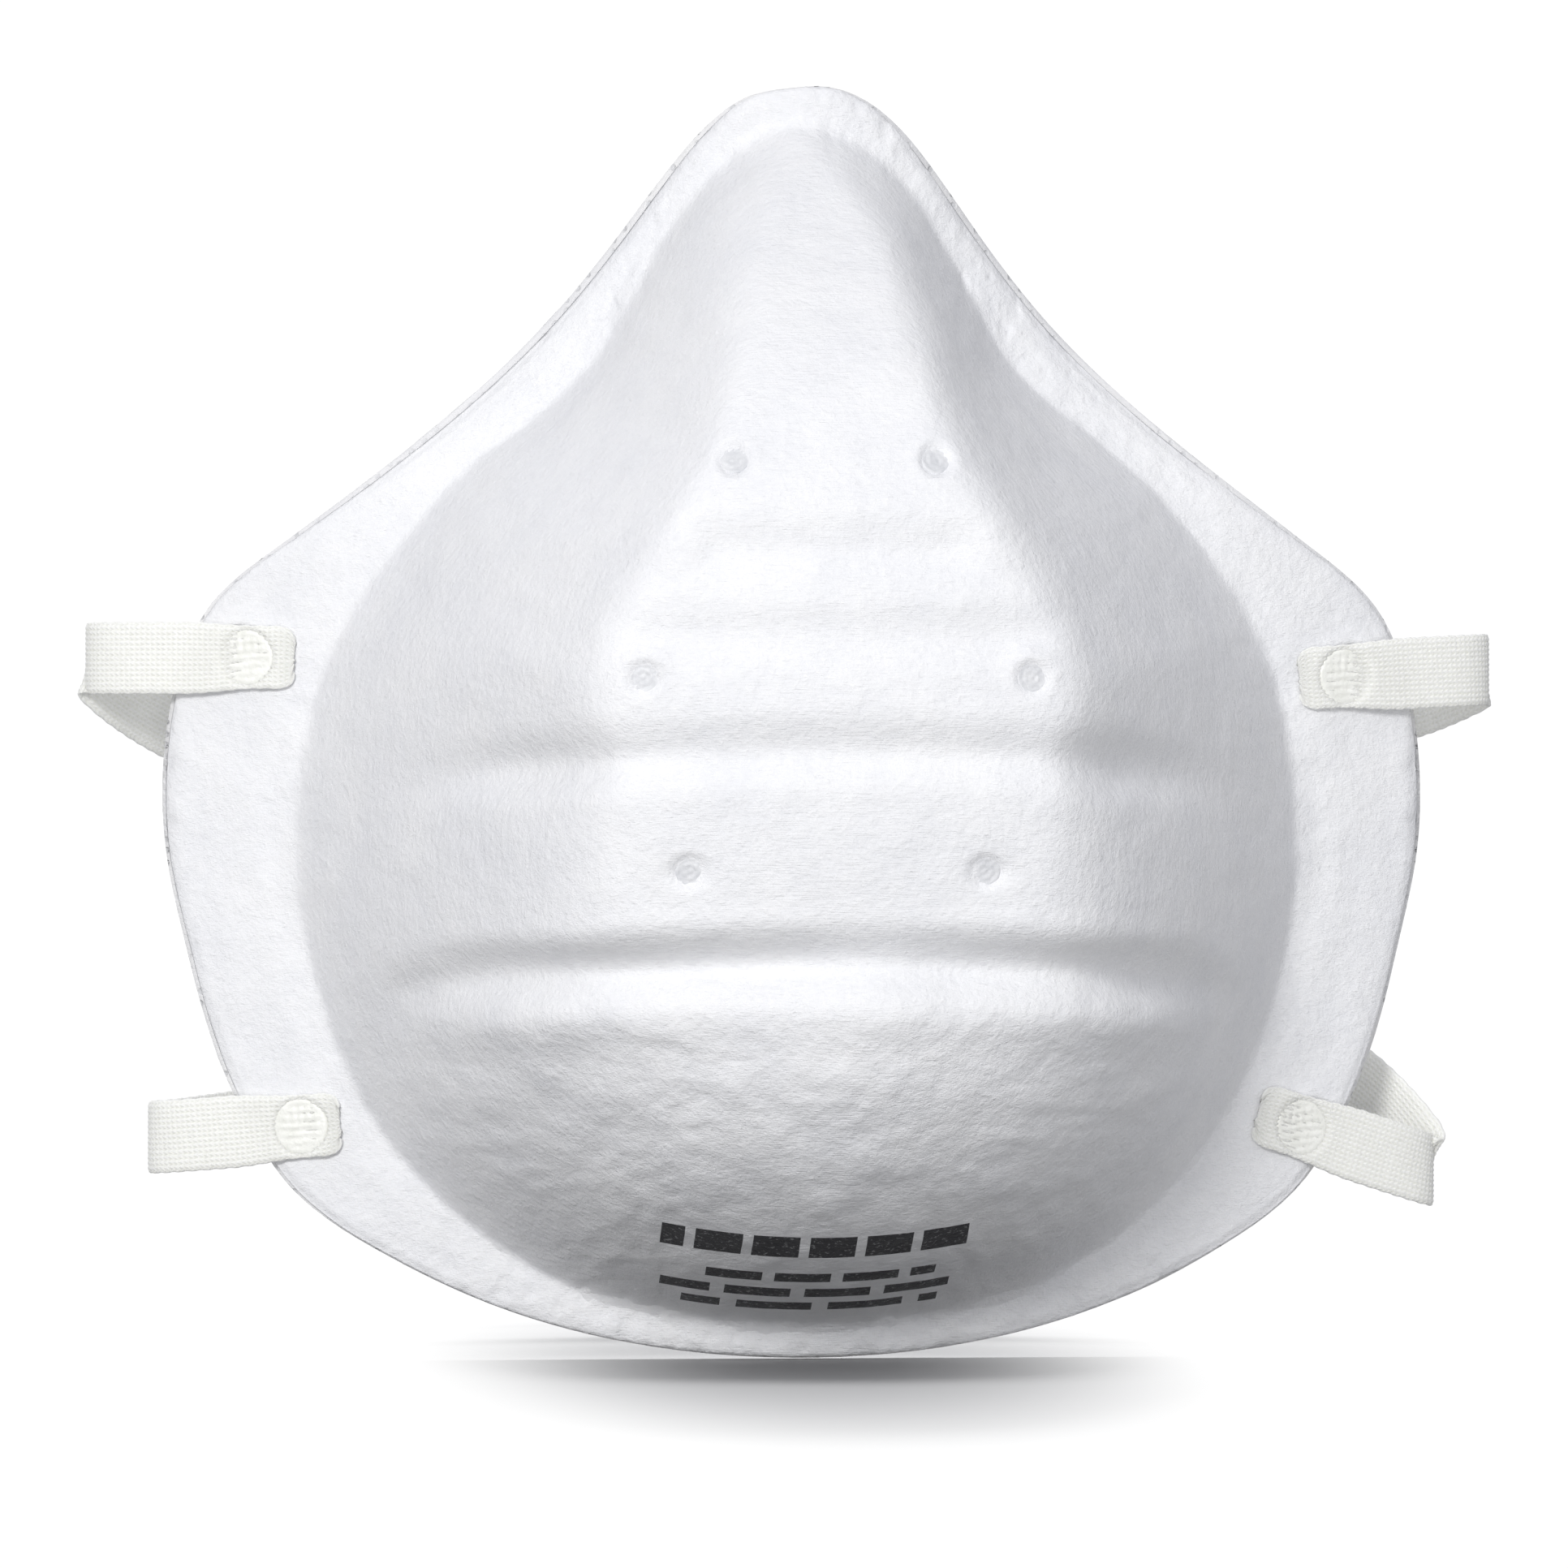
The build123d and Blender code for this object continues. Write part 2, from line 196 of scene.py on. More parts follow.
def flange_share(x, z):
    """1 by the line where the cup meets the flange, 0 on the rest of the cup and at the edge."""
    reach = np.interp(np.arctan2(x, z), ANGLES, EDGE, period=2 * pi)
    room = reach - np.hypot(x, z)
    return smooth_step(np.hypot(x, z) / reach, 0.67, 0.77) * smooth_step(room, 1.0 * MM, 2.8 * MM)


class Surface:
    """A smooth face of a CAD layer, seen along Y."""

    def __init__(self, tree, side, crisp=False):
        heights = np.array([[hit_y(tree, x, z, side) for z in LINE] for x in LINE])
        heights = soften(fill_gaps(heights), 0.7)
        if crisp:
            mild, sharp = crispen(heights, 1.4, 1), crispen(heights, 1.9, 8)
            heights = mild + (sharp - mild) * flange_share(*np.meshgrid(LINE, LINE, indexing="ij"))
        slope_x, slope_z = np.gradient(heights, GRID_STEP)
        self.grids = np.stack([heights, slope_x, slope_z], axis=-1)

    def read(self, x, z):
        """Height and slopes at each place, by cubic interpolation."""
        u, v = x / GRID_STEP + GRID_REACH, z / GRID_STEP + GRID_REACH
        i = np.clip(np.floor(u).astype(int), 1, 2 * GRID_REACH - 2)
        k = np.clip(np.floor(v).astype(int), 1, 2 * GRID_REACH - 2)
        total = 0.0
        for a, weight_a in zip(range(-1, 3), cubic_weights(u - i)):
            for b, weight_b in zip(range(-1, 3), cubic_weights(v - k)):
                total = total + self.grids[i + a, k + b] * (weight_a * weight_b)[..., None]
        return total

    def points(self, x, z, raised=0.0):
        """Points on the surface, raised towards the front along its normal."""
        height, slope_x, slope_z = np.moveaxis(self.read(x, z), -1, 0)
        height = height + root_shift(x, z) - rib_shift(x, z)
        normal = np.stack([slope_x, -np.ones_like(height), slope_z], axis=-1)
        normal /= np.linalg.norm(normal, axis=-1, keepdims=True)
        raised = np.broadcast_to(raised, height.shape)
        return np.stack([x, height, z], axis=-1) + normal * raised[..., None]


def cubic_weights(t):
    """Catmull-Rom weights of the four samples around t."""
    return (
        (-t + 2 * t**2 - t**3) / 2,
        (2 - 5 * t**2 + 3 * t**3) / 2,
        (t + 4 * t**2 - 3 * t**3) / 2,
        (-t**2 + t**3) / 2,
    )


SHELL_TREE = node_tree("outer_shell")
LINING_TREE = node_tree("inner_lining")
EDGE = edge_reach(SHELL_TREE)
SHELL_FRONT = Surface(SHELL_TREE, -1, crisp=True)
SHELL_BACK = Surface(SHELL_TREE, 1)
LINING_FRONT = Surface(LINING_TREE, -1)
LINING_BACK = Surface(LINING_TREE, 1)

# The crease where the cup's wall meets the flange: its place in each direction, and its shape.
ROOT_WALL, ROOT_FLANGE = 4.5 * MM, 2.6 * MM    # lengths replaced by straight flanks, in and out of it
ROOT_SOFTNESS = 0.22 * MM
ROOT_STEP = 0.25 * MM


def around(values, deviation):
    """Gaussian smoothing once round all directions."""
    count = int(3 * deviation)
    weights = np.exp(-0.5 * (np.arange(-count, count + 1) / deviation) ** 2)
    padded = np.concatenate([values[-count:], values, values[:count]])
    return np.apply_along_axis(np.convolve, 0, padded, weights / weights.sum(), mode="valid")


def find_root():
    """Distance of the crease from the middle, where the height bends most."""
    share = np.linspace(0.70, 0.975, 160)[None, :]
    reach = share * EDGE[:, None]
    angle = ANGLES[:, None]
    height = SHELL_FRONT.read(reach * np.sin(angle), reach * np.cos(angle))[..., 0]
    slope = np.gradient(height, axis=1) / np.gradient(reach, axis=1)
    bend = np.gradient(slope, axis=1) / np.gradient(reach, axis=1)
    best = reach[np.arange(len(ANGLES)), np.argmin(bend, axis=1)]
    count = 12
    spread = np.stack([np.roll(best, shift) for shift in range(-count, count + 1)])
    return around(np.median(spread, axis=0), 5.0)


def root_shape():
    """How far the crease moves the surface, for each direction and distance from the crease."""
    offset = np.arange(-ROOT_WALL, ROOT_FLANGE + ROOT_STEP / 2, ROOT_STEP)
    reach = ROOT[:, None] + offset[None, :]
    angle = ANGLES[:, None]
    height = SHELL_FRONT.read(reach * np.sin(angle), reach * np.cos(angle))[..., 0]
    slope = np.gradient(height, ROOT_STEP, axis=1)
    wall = height[:, :1] + slope[:, :1] * (offset - offset[0])
    flange = height[:, -1:] + slope[:, -1:] * (offset - offset[-1])
    apart = (wall - flange) / (2 * ROOT_SOFTNESS)
    crisp = (wall + flange) / 2 - ROOT_SOFTNESS * np.sqrt(apart**2 + 1)
    crisp += ROOT_SOFTNESS * (np.sqrt(apart**2 + 1) - np.abs(apart)) * np.abs(offset / ROOT_WALL)
    return offset, around(crisp - height, 3.0)


def root_shift(x, z):
    """How far back the crease moves the surface here."""
    angle, reach = np.arctan2(x, z), np.hypot(x, z)
    off = reach - np.interp(angle, ANGLES, ROOT, period=2 * pi)
    turn = (angle + pi) / (2 * pi) * len(ANGLES)
    near = np.floor(turn).astype(int)
    step = np.clip((off - ROOT_OFFSETS[0]) / ROOT_STEP, 0, len(ROOT_OFFSETS) - 1.001)
    low = step.astype(int)
    total = 0.0
    for i, part in ((near, 1 - (turn - near)), (near + 1, turn - near)):
        for k, share in ((low, 1 - (step - low)), (low + 1, step - low)):
            total = total + ROOT_SHIFT[i % len(ANGLES), k] * part * share
    return total * ((off > ROOT_OFFSETS[0]) & (off < ROOT_OFFSETS[-1]))


ROOT = find_root()
ROOT_OFFSETS, ROOT_SHIFT = root_shape()


# ================================ meshes ==========================================================
def make_object(name, points, faces, material, smooth=True):
    mesh = bpy.data.meshes.new(name)
    mesh.from_pydata([tuple(point) for point in points], [], faces)
    mesh.validate()
    mesh.polygons.foreach_set("use_smooth", [smooth] * len(mesh.polygons))
    mesh.materials.append(material)
    piece = bpy.data.objects.new(name, mesh)
    bpy.context.collection.objects.link(piece)
    return piece


def disc_places(count, inset=0.0):
    """A square net of places that fills the outline of the mask, and each one's room to the edge."""
    line = np.linspace(-1.0, 1.0, count + 1)
    u, v = np.meshgrid(line, line, indexing="ij")
    flat_x, flat_z = u * np.sqrt(1 - v**2 / 2), v * np.sqrt(1 - u**2 / 2)
    share, angle = np.hypot(flat_x, flat_z), np.arctan2(flat_x, flat_z)
    reach = np.interp(angle, ANGLES, EDGE, period=2 * pi) - inset
    return share * reach * np.sin(angle), share * reach * np.cos(angle), (1 - share) * reach


def border(count):
    """Indices once round the edge of a net."""
    last, row = count, count + 1
    ring = [(i, 0) for i in range(last)] + [(last, k) for k in range(last)]
    ring += [(i, last) for i in range(last, 0, -1)] + [(0, k) for k in range(last, 0, -1)]
    return [i * row + k for i, k in ring]


def net_faces(count, start, flip):
    row = count + 1
    faces = []
    for i in range(count):
        for k in range(count):
            a = start + i * row + k
            face = (a, a + row, a + row + 1, a + 1)
            faces.append(face[::-1] if flip else face)
    return faces


def layer_mesh(name, material, fine_points, fine_count, coarse_points, coarse_count, fine_in_front):
    """A closed sheet between a detailed face and a plain one, joined round the edge."""
    start = (fine_count + 1) ** 2
    ratio = fine_count // coarse_count
    points = np.vstack([fine_points.reshape(-1, 3), coarse_points.reshape(-1, 3)])
    faces = net_faces(fine_count, 0, not fine_in_front)
    faces += net_faces(coarse_count, start, fine_in_front)
    fine_ring = border(fine_count)
    coarse_ring = [start + index for index in border(coarse_count)]
    for j in range(len(coarse_ring)):
        near = fine_ring[j * ratio:(j + 1) * ratio] + [fine_ring[(j + 1) * ratio % len(fine_ring)]]
        far = [coarse_ring[(j + 1) % len(coarse_ring)], coarse_ring[j]]
        face = near + far
        faces.append(face[::-1] if fine_in_front else face)
    return make_object(name, points, faces, material)


# ================================ materials =======================================================
class Nodes:
    """A material's node tree, with short ways to add and join nodes."""

    def __init__(self, name, roughness=0.8, sheen=0.0, subsurface=0.0):
        self.material = bpy.data.materials.new(name)
        self.material.use_nodes = True
        self.tree = self.material.node_tree
        self.shader = self.tree.nodes["Principled BSDF"]
        self.shader.inputs["Roughness"].default_value = roughness
        self.shader.inputs["Sheen Weight"].default_value = sheen
        self.shader.inputs["Subsurface Weight"].default_value = subsurface
        self.shader.inputs["Subsurface Radius"].default_value = (0.0015, 0.0015, 0.0016)
        self.place = self.add("ShaderNodeTexCoord").outputs["Object"]

    def add(self, kind, **settings):
        node = self.tree.nodes.new(kind)
        for key, value in settings.items():
            setattr(node, key, value)
        return node

    def join(self, source, node, socket):
        self.tree.links.new(source, node.inputs[socket])

    def math(self, operation, a, b=0.0):
        node = self.add("ShaderNodeMath", operation=operation)
        for index, value in enumerate((a, b)):
            if isinstance(value, (int, float)):
                node.inputs[index].default_value = value
            else:
                self.join(value, node, index)
        return node.outputs[0]

    def noise(self, size, detail=3.0, roughness=0.55, stretch=(1, 1, 1), turn=(0, 0, 0), place=None):
        """Noise with lumps of a given size in metres, stretched and turned to look like fibres."""
        mapping = self.add("ShaderNodeMapping")
        mapping.inputs["Rotation"].default_value = [radians(angle) for angle in turn]
        mapping.inputs["Scale"].default_value = stretch
        self.join(place or self.place, mapping, "Vector")
        texture = self.add("ShaderNodeTexNoise")
        texture.inputs["Scale"].default_value = 1.0 / size
        texture.inputs["Detail"].default_value = detail
        texture.inputs["Roughness"].default_value = roughness
        self.join(mapping.outputs[0], texture, "Vector")
        return texture.outputs["Fac"]

    def cells(self, size, randomness=1.0, feature="F1", place=None):
        texture = self.add("ShaderNodeTexVoronoi", feature=feature)
        texture.inputs["Scale"].default_value = 1.0 / size
        texture.inputs["Randomness"].default_value = randomness
        self.join(place or self.place, texture, "Vector")
        return texture.outputs["Distance"]

    def ramp(self, value, stops):
        """Colours or greys along a value: stops are (position, colour)."""
        node = self.add("ShaderNodeValToRGB")
        while len(node.color_ramp.elements) < len(stops):
            node.color_ramp.elements.new(0.5)
        for element, (position, colour) in zip(node.color_ramp.elements, stops):
            element.position = position
            element.color = (*colour, 1.0) if len(colour) == 3 else (colour[0],) * 3 + (1.0,)
        self.join(value, node, "Fac")
        return node.outputs["Color"]

    def mix(self, factor, a, b):
        node = self.add("ShaderNodeMix", data_type="RGBA")
        for socket, value in ((0, factor), (6, a), (7, b)):
            if isinstance(value, tuple):
                node.inputs[socket].default_value = (*value, 1.0)
            else:
                self.join(value, node, socket)
        return node.outputs[2]

    def bump(self, *layers):
        """Layers are (height, depth in metres), finest last."""
        normal = None
        for height, depth in layers:
            node = self.add("ShaderNodeBump")
            node.inputs["Distance"].default_value = depth
            self.join(height, node, "Height")
            if normal is not None:
                self.join(normal, node, "Normal")
            normal = node.outputs["Normal"]
        self.join(normal, self.shader, "Normal")

    def fibres(self, width=0.00016, length=0.0030, angles=(12, 67, 118, 161)):
        """Random strands lying over each other at several angles."""
        top = None
        for number, angle in enumerate(angles):
            strand = self.noise(width, 1.0, 0.5, (width / length, 1.0, 1.0), (0, angle + 3 * number, 0))
            top = strand if top is None else self.math("MAXIMUM", top, strand)
        return top


def white_nonwoven():
    """Heat-moulded white felt of the outer shell, with the printed block at the chin."""
    felt = Nodes("white_nonwoven", roughness=0.82, sheen=0.12, subsurface=0.0)
    clouds = felt.noise(0.011, 4.0, 0.6)
    speckle = felt.noise(0.0009, 4.0, 0.65)
    fibres = felt.fibres()
    tone = felt.math("ADD", felt.math("MULTIPLY", clouds, 0.6), felt.math("MULTIPLY", speckle, 0.4))
    cloth = felt.ramp(tone, [(0.30, (0.800, 0.806, 0.832)), (0.50, (0.850, 0.853, 0.870)),
                             (0.72, (0.892, 0.892, 0.900))])
    ink = printed_rows(felt)
    colour = felt.mix(ink, cloth, (0.020, 0.020, 0.024))
    felt.join(colour, felt.shader, "Base Color")
    rough = felt.ramp(fibres, [(0.35, (0.90,)), (0.75, (0.68,))])
    felt.join(rough, felt.shader, "Roughness")
    felt.bump((felt.noise(0.0042, 3.0, 0.6), 0.00028), (speckle, 0.00022), (fibres, 0.00010))
    return felt.material


# Height, half width, half thickness and gap phase of each row of print, in millimetres.
PRINT_ROWS = [(-56.4, 17.0, 1.20, 0.2), (-60.1, 13.1, 0.52, 0.6), (-62.0, 16.5, 0.52, 0.1),
              (-63.7, 14.0, 0.46, 0.8)]
PRINT_CURVE = 0.0055           # the rows rise towards their ends, 1/mm


def printed_rows(felt):
    """Plain bars of ink in four rows: a mask that is 1 on the ink."""
    parts = felt.add("ShaderNodeSeparateXYZ")
    felt.join(felt.place, parts, "Vector")
    x = felt.math("MULTIPLY", parts.outputs["X"], 1000.0)
    z = felt.math("MULTIPLY", parts.outputs["Z"], 1000.0)
    level = felt.math("SUBTRACT", z, felt.math("MULTIPLY", felt.math("MULTIPLY", x, x), PRINT_CURVE))
    front = felt.math("LESS_THAN", parts.outputs["Y"], -0.004)
    total = None
    for number, (height, half_width, half_thickness, phase) in enumerate(PRINT_ROWS):
        off = felt.math("ABSOLUTE", felt.math("SUBTRACT", level, height))
        row = felt.math("LESS_THAN", off, half_thickness)
        row = felt.math("MULTIPLY", row, felt.math("LESS_THAN", felt.math("ABSOLUTE", x), half_width))
        pitch = 6.1 + 1.3 * number
        along = felt.math("FRACT", felt.math("ADD", felt.math("DIVIDE", x, pitch), phase + 20.0))
        row = felt.math("MULTIPLY", row, felt.math("LESS_THAN", along, 0.82))
        total = row if total is None else felt.math("MAXIMUM", total, row)
    worn = felt.ramp(felt.noise(0.0005, 3.0, 0.6), [(0.34, (0.75,)), (0.42, (1.0,))])
    return felt.math("MULTIPLY", felt.math("MULTIPLY", total, front), worn)


def lining_fleece():
    """Soft spunbond lining with its net of tiny bond points."""
    fleece = Nodes("lining_fleece", roughness=0.9, sheen=0.2)
    fibres = fleece.fibres(0.00013, 0.0024, (25, 80, 140))
    points = fleece.cells(0.0013, 0.12)
    dots = fleece.ramp(points, [(0.18, (0.0,)), (0.34, (1.0,))])
    tone = fleece.ramp(fleece.noise(0.014, 4.0), [(0.35, (0.800, 0.800, 0.812)), (0.65, (0.875, 0.873, 0.872))])
    fleece.join(fleece.mix(dots, (0.74, 0.745, 0.76), tone), fleece.shader, "Base Color")
    fleece.join(fleece.ramp(dots, [(0.0, (0.6,)), (1.0, (0.92,))]), fleece.shader, "Roughness")
    fleece.bump((fleece.noise(0.006, 3.0), 0.0004), (dots, 0.00012), (fibres, 0.00009))
    return fleece.material


def filter_fleece():
    fleece = Nodes("filter_fleece", roughness=0.95, sheen=0.1)
    tone = fleece.ramp(fleece.noise(0.004, 5.0), [(0.3, (0.84, 0.84, 0.84)), (0.7, (0.92, 0.92, 0.92))])
    fleece.join(tone, fleece.shader, "Base Color")
    fleece.bump((fleece.noise(0.0012, 4.0), 0.0002), (fleece.fibres(), 0.0001))
    return fleece.material


def foam_grey():
    """Open-cell foam: small round pores of mixed sizes."""
    foam = Nodes("foam", roughness=0.95)
    pores = foam.cells(0.0009)
    small = foam.cells(0.00045)
    tone = foam.ramp(pores, [(0.05, (0.42, 0.43, 0.45)), (0.45, (0.70, 0.71, 0.73)), (0.9, (0.78, 0.79, 0.80))])
    foam.join(tone, foam.shader, "Base Color")
    foam.bump((foam.noise(0.005, 3.0), 0.0004), (pores, 0.00045), (small, 0.00018))
    return foam.material


RIB_COUNT = 14
RIB_HEIGHT = 0.045 * MM


def elastic():
    """Cream braided elastic. Its own coordinates run across and along the strap, in metres."""
    braid = Nodes("elastic", roughness=0.80, sheen=0.15, subsurface=0.45)
    braid.shader.inputs["Subsurface Scale"].default_value = 1.0
    strap = braid.add("ShaderNodeUVMap", uv_map="strap").outputs["UV"]
    parts = braid.add("ShaderNodeSeparateXYZ")
    braid.join(strap, parts, "Vector")
    across = braid.math("MULTIPLY", parts.outputs["X"], 2 * pi * RIB_COUNT / 0.008)
    # The colour is lighter on the crests of the raised ribs and darker in the grooves between them: painted shade
    # that follows the ribs' relief. The stitches and the yarn noise add the braid's own pattern and random tone.
    ribs = braid.math("MULTIPLY", braid.math("ADD", braid.math("COSINE", across), 1.0), 0.5)
    lean = braid.math("MULTIPLY", braid.math("PINGPONG", parts.outputs["X"], 0.008 / RIB_COUNT / 2), 1.2)
    stitch = braid.math("MULTIPLY", braid.math("ADD", parts.outputs["Y"], lean), 2 * pi / 0.00062)
    stitches = braid.math("MULTIPLY", braid.math("ADD", braid.math("SINE", stitch), 1.0), 0.5)
    yarn = braid.noise(0.0006, 3.0, 0.6)
    shade = braid.math("ADD", braid.math("MULTIPLY", ribs, 0.30), braid.math("MULTIPLY", stitches, 0.20))
    shade = braid.math("ADD", shade, braid.math("MULTIPLY", yarn, 0.50))
    tone = braid.ramp(shade, [(0.15, (0.80, 0.80, 0.735)), (0.50, (0.900, 0.902, 0.855)),
                              (0.80, (0.945, 0.945, 0.910))])
    braid.join(tone, braid.shader, "Base Color")
    braid.join(braid.ramp(yarn, [(0.3, (0.86,)), (0.7, (0.66,))]), braid.shader, "Roughness")
    braid.bump((braid.noise(0.0022, 3.0), 0.00010), (stitches, 0.00005), (braid.noise(0.00022, 2.0), 0.00004))
    return braid.material


def fused(name, low, high, roughness, grain):
    """Fibre pressed and melted by a weld: smoother, a little glassy and darker."""
    film = Nodes(name, roughness=roughness, subsurface=0.0)
    clouds = film.noise(grain * 4, 3.0)
    film.join(film.ramp(clouds, [(0.3, low), (0.7, high)]), film.shader, "Base Color")
    film.join(film.ramp(clouds, [(0.3, (roughness + 0.15,)), (0.7, (roughness - 0.12,))]), film.shader, "Roughness")
    film.shader.inputs["Coat Weight"].default_value = 0.15
    film.shader.inputs["Coat Roughness"].default_value = 0.3
    film.bump((film.noise(grain, 3.0), 0.00008), (film.cells(grain * 1.5), 0.00004))
    return film.material


FLOOR_FADE = (0.060, 0.150)    # distances over which the floor turns plain white, in metres
FLOOR_SQUEEZE = (2.6, 0.8, 1.0)    # that fade is nearer to the sides than to the front
FLOOR_BOUNCE = 0.21            # how much light the floor throws back up at the mask


def pale_floor():
    """A pale floor that fades into the white surroundings away from the mask."""
    floor = Nodes("studio_floor", roughness=0.6)
    tone = floor.ramp(floor.noise(0.3, 2.0), [(0.3, (0.425, 0.425, 0.427)), (0.7, (0.435, 0.435, 0.437))])
    floor.join(tone, floor.shader, "Base Color")
    distance = floor.add("ShaderNodeVectorMath", operation="LENGTH")
    squeeze = floor.add("ShaderNodeVectorMath", operation="MULTIPLY")
    squeeze.inputs[1].default_value = FLOOR_SQUEEZE
    floor.join(floor.place, squeeze, 0)
    floor.join(squeeze.outputs["Vector"], distance, 0)
    far = floor.add("ShaderNodeMapRange", interpolation_type="SMOOTHERSTEP")
    far.inputs["From Min"].default_value, far.inputs["From Max"].default_value = FLOOR_FADE
    floor.join(distance.outputs["Value"], far, "Value")
    plain = floor.add("ShaderNodeEmission")
    plain.inputs["Strength"].default_value = 1.05
    seen_floor = floor.add("ShaderNodeMixShader")
    floor.join(far.outputs["Result"], seen_floor, 0)
    floor.join(floor.shader.outputs[0], seen_floor, 1)
    floor.join(plain.outputs[0], seen_floor, 2)
    bounce = floor.add("ShaderNodeBsdfDiffuse")
    bounce.inputs["Color"].default_value = (FLOOR_BOUNCE, FLOOR_BOUNCE, FLOOR_BOUNCE, 1.0)
    seen = floor.add("ShaderNodeLightPath")
    whole = floor.add("ShaderNodeMixShader")
    floor.join(seen.outputs["Is Camera Ray"], whole, 0)
    floor.join(bounce.outputs[0], whole, 1)
    floor.join(seen_floor.outputs[0], whole, 2)
    output = next(n for n in floor.tree.nodes if n.bl_idname == "ShaderNodeOutputMaterial")
    floor.join(whole.outputs[0], output, "Surface")
    return floor.material


NONWOVEN = white_nonwoven()
LINING = lining_fleece()
FLEECE = filter_fleece()
FOAM = foam_grey()
ELASTIC = elastic()
FUSED_FELT = fused("fused_fibre", (0.60, 0.61, 0.635), (0.73, 0.735, 0.75), 0.5, 0.0004)
FUSED_ELASTIC = fused("welded_elastic", (0.83, 0.835, 0.78), (0.94, 0.942, 0.90), 0.45, 0.0004)


# ================================ layers of the cup ===============================================
FINE_NET, COARSE_NET = 288, 72
SEAL_WIDTH = 4.0 * MM          # the layers close up and fuse over this much of the flange
SEAL_SHIFT = 1.25 * MM
EDGE_ROUNDING = 1.1 * MM


def weld_face(node):
    """Middle of the front face of a weld's pin, its outward direction and its radius."""
    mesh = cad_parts[node].data
    normals = np.array([face.normal for face in mesh.polygons])
    areas = np.array([face.area for face in mesh.polygons])
    alike = (normals @ normals.T > 0.9999) & (normals[:, 1] < 0)[None, :]
    outward = normals[np.argmax(alike @ areas * (normals[:, 1] < 0))]
    points = np.array([v.co for v in mesh.vertices])
    reach = points @ outward
    front = points[reach > reach.max() - 0.05 * MM]
    middle = (front.min(axis=0) + front.max(axis=0)) / 2
    return middle, outward, np.linalg.norm(front - middle, axis=1).max()


def felt_under(node, middle, outward):
    """The shell's outer surface at a tack's middle."""
    return SHELL_FRONT.points(middle[0:1], middle[2:3])[0]


def elastic_under(node, middle, outward):
    """The middle of the elastic's thickness where it passes over a weld."""
    line = smooth_line(corner_route(node.replace("_strap_weld", "")))[0]
    aside = (line - middle) - ((line - middle) @ outward)[:, None] * outward
    return line[np.argmin(np.linalg.norm(aside, axis=1))]


TACKS = [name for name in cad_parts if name.endswith("_tack_weld")]
STRAP_WELDS = [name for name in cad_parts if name.endswith("_strap_weld")]


def bump(place, middle, width):
    return np.exp(-0.5 * ((place - middle) / width) ** 2)


def rib_relief(x, z):
    """Sharper ribs: the middle groove runs on over the side walls, and the lower one is undercut."""
    x, z = x / MM, z / MM
    along = np.abs(x)
    walls = smooth_step(along, 24.0, 31.0) * (1 - smooth_step(along, 41.0, 49.0))
    droop = 3.4 * (along / 44.0) ** 2
    relief = walls * (0.40 * bump(z, -9.6 - droop, 2.6) - 0.62 * bump(z, -3.4 - droop, 1.9))
    upper = smooth_step(along, 26.0, 31.0) * (1 - smooth_step(along, 36.0, 45.0))
    relief += upper * (0.30 * bump(z, 7.5, 3.0) - 0.30 * bump(z, 13.5, 3.0))
    panel = 1 - smooth_step(along, 19.0, 26.0)
    relief += panel * (0.25 * bump(z, 21.8, 1.5) - 0.50 * bump(z, 15.0, 1.6) - 1.00 * bump(z, 8.8, 2.0))
    relief += panel * (0.15 * bump(z, -2.0, 1.8) + 0.20 * bump(z, -17.5, 4.5))
    sides = (1 - smooth_step(along, 42.0, 50.0)) * (1 - 0.75 * bump(x, 4.0, 5.0))
    droop = 3.6 * (along / 44.0) ** 2
    depth = -z - droop
    relief -= 2.10 * sides * smooth_step(depth, 20.0, 26.6) * (1 - smooth_step(depth, 28.0, 50.0))
    relief -= 0.60 * sides * bump(depth, 26.0, 1.7)
    relief += 0.50 * sides * bump(depth, 22.6, 1.6)
    below = 1 - smooth_step(along, 40.0, 52.0)
    return relief + below * 0.60 * bump(z, -36.4 - 2.4 * (along / 44.0) ** 2, 2.9)


TACK_FACES = [weld_face(node) for node in TACKS]


def rib_shift(x, z):
    """The ribs' relief in metres, shared by all the layers and left out at the tack welds."""
    relief = MM * rib_relief(x, z)
    for middle, _, radius in TACK_FACES:
        relief = relief * smooth_step(np.hypot(x - middle[0], z - middle[2]), 1.2 * radius, 2.4 * radius)
    return relief


